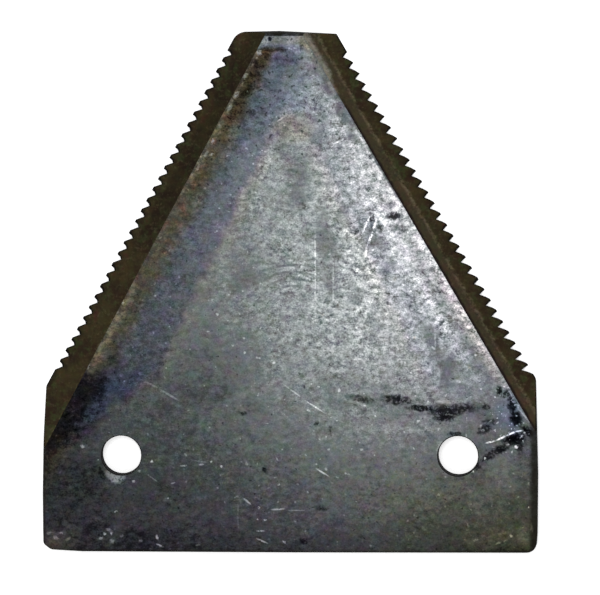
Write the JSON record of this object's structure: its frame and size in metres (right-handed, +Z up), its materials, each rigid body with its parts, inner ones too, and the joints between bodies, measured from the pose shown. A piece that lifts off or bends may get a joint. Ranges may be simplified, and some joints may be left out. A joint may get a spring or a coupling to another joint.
{
  "type": "serrated knife section",
  "caption": "Flat steel mower knife section, tapering to a blunt tip, with two ground flanks, teeth cut from below along both edges and rivet holes by the base.",
  "frame": {"origin": "on the underside, midway between the two rivet holes", "axes": "+Z up through the plate, from the underside to the ground top face; +Y from the base edge to the tip; +X to the right when the tip points away and the ground face is up"},
  "size_m": [0.076, 0.08, 0.002],
  "materials": {
    "knife_section": "dark hardened steel with temper colours, ground flanks, fine scratches and specks"
  },
  "bodies": {
    "root": {"knife_section": "knife_section"}
  },
  "joints": []
}
